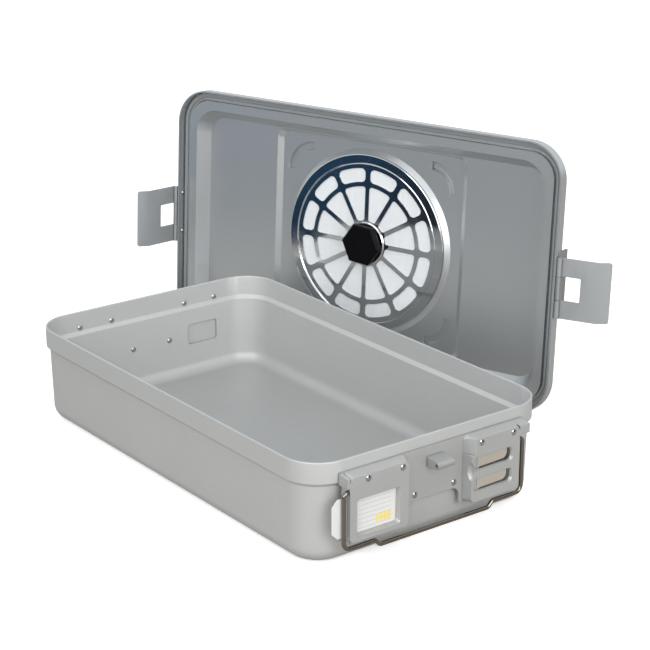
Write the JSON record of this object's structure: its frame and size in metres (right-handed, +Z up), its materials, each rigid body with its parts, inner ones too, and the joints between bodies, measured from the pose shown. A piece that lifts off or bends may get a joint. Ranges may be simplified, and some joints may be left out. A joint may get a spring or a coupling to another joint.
{
  "type": "surgical sterilization container",
  "caption": "Rigid sterilization container for surgical trays: aluminium tub with bail handles and label holders, and a gasketed latching lid with a filter behind a round grille.",
  "frame": {"origin": "centre of the tub's flat underside", "axes": "+X to the near labelled end, +Y to the long side where the lid stands, +Z up"},
  "size_m": [0.6133, 0.4453, 0.2851],
  "materials": {
    "anodised": "satin anodised",
    "lid_anodised": "satin anodised",
    "plate_steel": "satin",
    "lug": "satin",
    "rivet": "bright",
    "spring_sheet": "satin",
    "card": "matt white card",
    "bail_wire": "bright",
    "silicone": "matt grey",
    "chrome": "bright",
    "latch_steel": "satin",
    "button": "black satin",
    "filter": "matt white"
  },
  "bodies": {
    "tub": {"tub_shell": "anodised", "near_end_plate": "plate_steel", "far_end_plate": "plate_steel", "near_catch_lug": "lug", "far_catch_lug": "lug", "near_plate_rivets": "rivet", "far_plate_rivets": "rivet", "near_tag_springs": "spring_sheet", "far_tag_springs": "spring_sheet"},
    "near_card": {"near_label_card": "card"},
    "far_card": {"far_label_card": "card"},
    "near_bail": {"near_bail_handle": "bail_wire"},
    "far_bail": {"far_bail_handle": "bail_wire"},
    "lid": {"lid_shell": "lid_anodised", "lid_gasket": "silicone", "filter_stud": "chrome", "left_latch_bracket": "plate_steel", "right_latch_bracket": "plate_steel", "left_bracket_rivets": "rivet", "right_bracket_rivets": "rivet", "left_latch_pin": "chrome", "right_latch_pin": "chrome"},
    "left_latch": {"left_latch_flap": "latch_steel"},
    "right_latch": {"right_latch_flap": "latch_steel"},
    "retainer": {"retention_plate": "chrome", "plate_collar": "chrome", "plate_seal": "silicone"},
    "button": {"hex_button": "button"},
    "filter": {"filter_disc": "filter"}
  },
  "joints": [
    {"name": "lid_lift", "type": "slide", "parent": "tub", "child": "lid", "axis": [0, 0, 1], "range_m": [0, 0.3]},
    {"name": "near_bail_swing", "type": "hinge", "parent": "tub", "child": "near_bail", "pos_m": [0.2448, 0, 0.072], "axis": [0, -1, 0], "range_deg": [0, 95]},
    {"name": "far_bail_swing", "type": "hinge", "parent": "tub", "child": "far_bail", "pos_m": [-0.2448, 0, 0.072], "axis": [0, 1, 0], "range_deg": [0, 95]},
    {"name": "near_card_slide", "type": "slide", "parent": "tub", "child": "near_card", "axis": [0, -1, 0], "range_m": [0, 0.045]},
    {"name": "far_card_slide", "type": "slide", "parent": "tub", "child": "far_card", "axis": [0, 1, 0], "range_m": [0, 0.045]},
    {"name": "right_latch_hinge", "type": "hinge", "parent": "lid", "child": "right_latch", "pos_m": [0.10249, 0.27373, 0.14283], "axis": [0.0199, -0.0577, -0.9981], "range_deg": [0, 99]},
    {"name": "left_latch_hinge", "type": "hinge", "parent": "lid", "child": "left_latch", "pos_m": [-0.35514, 0.11616, 0.14283], "axis": [-0.0199, 0.0577, 0.9981], "range_deg": [-92, 7]},
    {"name": "retainer_slide", "type": "slide", "parent": "lid", "child": "retainer", "axis": [0.325, -0.9438, 0.061], "range_m": [0, 0.03]},
    {"name": "filter_slide", "type": "slide", "parent": "lid", "child": "filter", "axis": [0.325, -0.9438, 0.061], "range_m": [0, 0.015]},
    {"name": "button_press", "type": "slide", "parent": "retainer", "child": "button", "axis": [-0.325, 0.9438, -0.061], "range_m": [0, 0.002], "stiffness_N_per_m": 800, "springref_m": -0.001}
  ],
  "couplings": [
    {"joint": "filter_slide", "follows": "retainer_slide", "ratio": 0.5}
  ]
}
